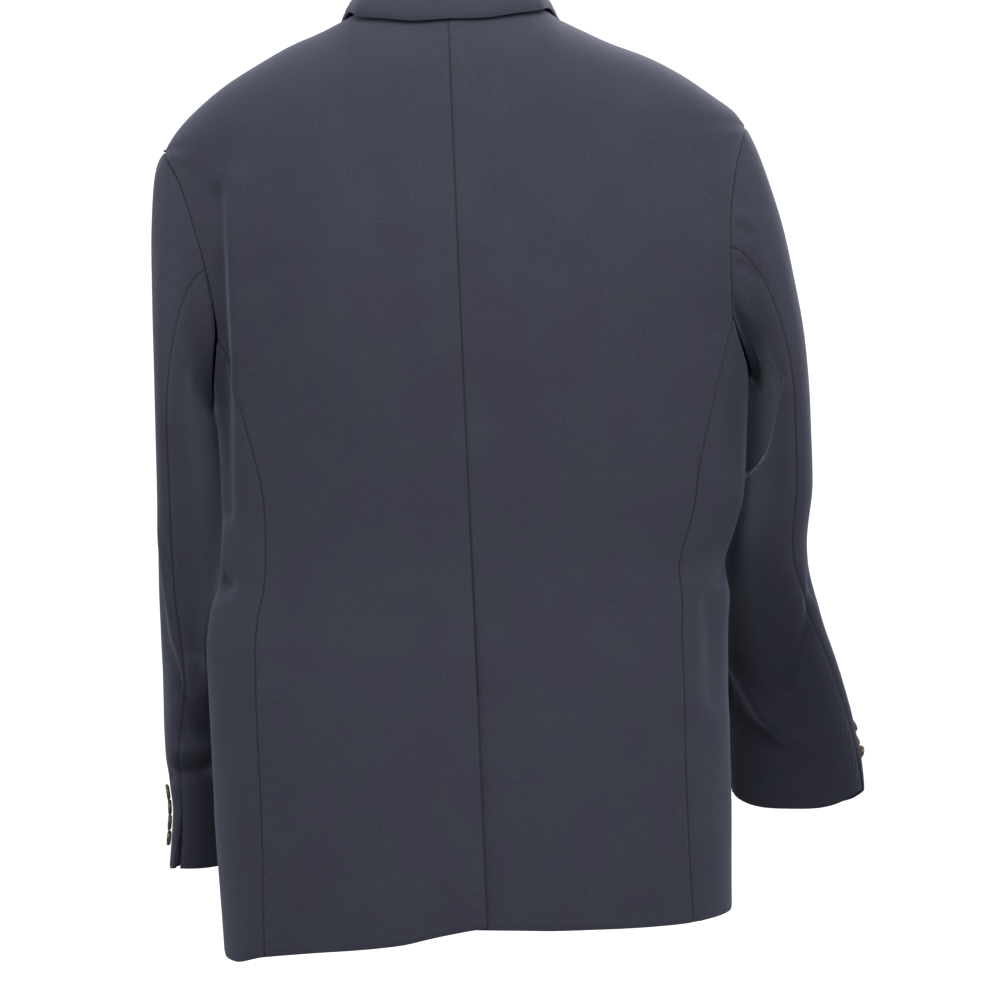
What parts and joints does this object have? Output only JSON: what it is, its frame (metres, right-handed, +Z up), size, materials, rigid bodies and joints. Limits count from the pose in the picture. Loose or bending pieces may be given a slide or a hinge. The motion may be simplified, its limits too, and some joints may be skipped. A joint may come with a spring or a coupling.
{
  "type": "blazer",
  "caption": "Single-breasted blazer in dark navy cloth, filled out and hollow, with notch lapels, centre vent and buttoned cuffs.",
  "frame": {"origin": "centre of the neck opening, level with the points where the collar's edge crosses the shoulders", "axes": "+X towards the wearer's right, +Y out of the front, +Z up; the back faces -Y"},
  "size_m": [0.6397, 0.2775, 0.86],
  "materials": {
    "navy_cloth": "fine worsted, matt",
    "button_horn": "horn look, satin"
  },
  "bodies": {
    "root": {"back_left": "navy_cloth", "back_right": "navy_cloth", "collar": "navy_cloth", "cuff_button_left_1": "button_horn", "cuff_button_left_2": "button_horn", "cuff_button_left_3": "button_horn", "cuff_button_left_4": "button_horn", "cuff_button_right_1": "button_horn", "cuff_button_right_2": "button_horn", "cuff_button_right_3": "button_horn", "cuff_button_right_4": "button_horn", "front_button_1": "button_horn", "front_button_2": "button_horn", "front_left": "navy_cloth", "front_right": "navy_cloth", "lapel_left": "navy_cloth", "lapel_right": "navy_cloth", "side_left": "navy_cloth", "side_right": "navy_cloth", "top_sleeve_left": "navy_cloth", "top_sleeve_right": "navy_cloth", "under_sleeve_left": "navy_cloth", "under_sleeve_right": "navy_cloth"}
  },
  "joints": []
}
